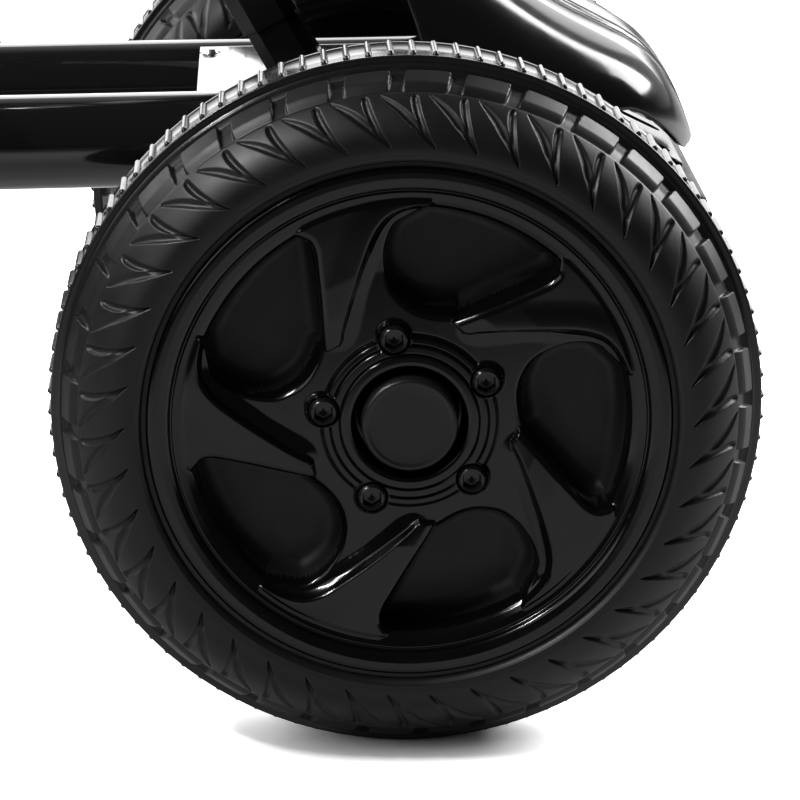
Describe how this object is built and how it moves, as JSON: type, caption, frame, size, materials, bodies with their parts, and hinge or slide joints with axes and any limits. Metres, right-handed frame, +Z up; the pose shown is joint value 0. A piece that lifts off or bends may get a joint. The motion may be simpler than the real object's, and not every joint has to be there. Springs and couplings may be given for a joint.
{
  "type": "drift kart",
  "caption": "Low electric drift kart with twin-rail frame, car-style wheels, bucket seat, steering column, wedge nose, foot pedal and hand brake.",
  "frame": {"origin": "middle of the footprint's bounding box, on the ground under the kart", "axes": "+X the driving direction and the longest extent, +Y the driver's left, +Z up"},
  "size_m": [0.9412, 0.4862, 0.6033],
  "materials": {
    "gloss_paint": "gloss black powder coat",
    "gloss_plastic": "gloss black moulding",
    "matte_plastic": "satin black moulding",
    "foam_tyre": "matt black treaded tyre",
    "hard_tyre": "smooth black slick tyre",
    "zinc": "zinc plated",
    "dark_steel": "black oxide",
    "nylon": "grey nylon",
    "grip_rubber": "fine grained black rubber"
  },
  "bodies": {
    "frame": {"frame_rail_right": "gloss_paint", "frame_rail_left": "gloss_paint", "front_axle_beam": "gloss_paint", "foot_plate": "gloss_paint", "foot_plate_screw_right": "zinc", "foot_plate_screw_left": "zinc", "column_tube": "gloss_paint", "column_shroud": "gloss_plastic", "nose_fairing": "gloss_plastic", "nose_lip": "gloss_plastic", "front_bumper": "gloss_paint", "peg_tube": "gloss_paint", "pedal_spring": "zinc", "kingpin_right": "zinc", "kingpin_left": "zinc", "rear_bearing_right": "gloss_paint", "rear_bearing_left": "gloss_paint", "motor": "dark_steel", "seat_track": "gloss_paint", "battery_box": "matte_plastic", "battery": "matte_plastic"},
    "steering": {"steering_shaft": "zinc", "steering_wheel": "grip_rubber"},
    "horn": {"horn_button": "gloss_plastic"},
    "knuckle_right": {"knuckle_right": "dark_steel", "axle_nut_right": "zinc"},
    "knuckle_left": {"knuckle_left": "dark_steel", "axle_nut_left": "zinc"},
    "front_wheel_right": {"front_tyre_right": "foam_tyre", "front_rim_right": "gloss_plastic", "front_hub_cap_right": "matte_plastic", "front_hub_flange_right": "dark_steel", "front_wheel_bush_right": "nylon"},
    "front_wheel_left": {"front_tyre_left": "foam_tyre", "front_rim_left": "gloss_plastic", "front_hub_cap_left": "matte_plastic", "front_hub_flange_left": "dark_steel", "front_wheel_bush_left": "nylon"},
    "tie_rod_right": {"tie_rod_right": "zinc"},
    "tie_rod_left": {"tie_rod_left": "zinc"},
    "rear_axle": {"rear_axle": "zinc", "drive_gear": "nylon", "rear_tyre_right": "hard_tyre", "rear_rim_right": "gloss_plastic", "rear_hub_cap_right": "matte_plastic", "rear_hub_flange_right": "dark_steel", "rear_tyre_left": "hard_tyre", "rear_rim_left": "gloss_plastic", "rear_hub_cap_left": "matte_plastic", "rear_hub_flange_left": "dark_steel"},
    "motor_shaft": {"motor_pinion": "dark_steel"},
    "pedal": {"accelerator_pedal": "matte_plastic"},
    "seat": {"seat_shell": "gloss_plastic", "seat_carriage": "dark_steel"},
    "seat_knob": {"seat_clamp_knob": "matte_plastic"},
    "brake": {"brake_lever": "dark_steel"},
    "lid": {"battery_lid": "matte_plastic"},
    "latch": {"lid_latch": "dark_steel"},
    "switch": {"power_switch": "gloss_plastic"},
    "cap": {"charge_cap": "grip_rubber"}
  },
  "joints": [
    {"name": "steering", "type": "hinge", "parent": "frame", "child": "steering", "pos_m": [0.3154, 0, 0.192], "axis": [-0.4756, 0, 0.8796], "range_deg": [-45, 45]},
    {"name": "steer_right", "type": "hinge", "parent": "frame", "child": "knuckle_right", "pos_m": [0.33, -0.133, 0.1406], "axis": [0, 0, 1], "range_deg": [-22.5, 22.5]},
    {"name": "steer_left", "type": "hinge", "parent": "frame", "child": "knuckle_left", "pos_m": [0.33, 0.133, 0.1406], "axis": [0, 0, 1], "range_deg": [-22.5, 22.5]},
    {"name": "tie_rod_right_end", "type": "hinge", "parent": "knuckle_right", "child": "tie_rod_right", "pos_m": [0.2773, -0.133, 0.167], "axis": [0, 0, 1], "range_deg": [-22.5, 22.5]},
    {"name": "tie_rod_left_end", "type": "hinge", "parent": "knuckle_left", "child": "tie_rod_left", "pos_m": [0.2773, 0.133, 0.16], "axis": [0, 0, 1], "range_deg": [-22.5, 22.5]},
    {"name": "front_right_spin", "type": "hinge", "parent": "knuckle_right", "child": "front_wheel_right", "pos_m": [0.33, -0.1983, 0.1406], "axis": [0, 1, 0], "continuous": true},
    {"name": "front_left_spin", "type": "hinge", "parent": "knuckle_left", "child": "front_wheel_left", "pos_m": [0.33, 0.1983, 0.1406], "axis": [0, 1, 0], "continuous": true},
    {"name": "rear_axle_spin", "type": "hinge", "parent": "frame", "child": "rear_axle", "pos_m": [-0.33, 0, 0.1406], "axis": [0, 1, 0], "continuous": true},
    {"name": "motor_spin", "type": "hinge", "parent": "frame", "child": "motor_shaft", "pos_m": [-0.2705, -0.022, 0.1406], "axis": [0, 1, 0], "continuous": true},
    {"name": "pedal_press", "type": "hinge", "parent": "frame", "child": "pedal", "pos_m": [0.115, -0.13, 0.1865], "axis": [0, 1, 0], "range_deg": [0, 20], "stiffness_Nm_per_rad": 1.5, "springref_deg": -8.59},
    {"name": "brake_pull", "type": "hinge", "parent": "frame", "child": "brake", "pos_m": [-0.205, -0.086, 0.257], "axis": [0, 1, 0], "range_deg": [-6, 0], "stiffness_Nm_per_rad": 4, "springref_deg": 8.59},
    {"name": "seat_slide", "type": "slide", "parent": "frame", "child": "seat", "axis": [1, 0, 0], "range_m": [0, 0.06]},
    {"name": "seat_clamp", "type": "hinge", "parent": "seat", "child": "seat_knob", "pos_m": [-0.15, -0.045, 0.2547], "axis": [0, 1, 0], "range_deg": [-90, 90]},
    {"name": "lid_open", "type": "hinge", "parent": "frame", "child": "lid", "pos_m": [-0.461, 0, 0.3183], "axis": [0, -1, 0], "range_deg": [0, 100]},
    {"name": "latch_lift", "type": "hinge", "parent": "lid", "child": "latch", "pos_m": [-0.353, 0, 0.3219], "axis": [0, -1, 0], "range_deg": [0, 60], "stiffness_Nm_per_rad": 0.05, "springref_deg": -17.19},
    {"name": "switch_rock", "type": "hinge", "parent": "frame", "child": "switch", "pos_m": [-0.457, -0.04, 0.2813], "axis": [0, 1, 0], "range_deg": [-8, 8]},
    {"name": "cap_lift", "type": "hinge", "parent": "frame", "child": "cap", "pos_m": [-0.458, 0.04, 0.2938], "axis": [0, 1, 0], "range_deg": [0, 110]},
    {"name": "horn_press", "type": "slide", "parent": "steering", "child": "horn", "axis": [0.4756, 0, -0.8796], "range_m": [0, 0.003], "stiffness_N_per_m": 300, "springref_m": -0.002}
  ],
  "couplings": [
    {"joint": "steer_right", "follows": "steering", "ratio": 0.5},
    {"joint": "steer_left", "follows": "steering", "ratio": 0.5},
    {"joint": "tie_rod_right_end", "follows": "steering", "ratio": -0.5},
    {"joint": "tie_rod_left_end", "follows": "steering", "ratio": -0.5},
    {"joint": "motor_spin", "follows": "rear_axle_spin", "ratio": -4}
  ]
}
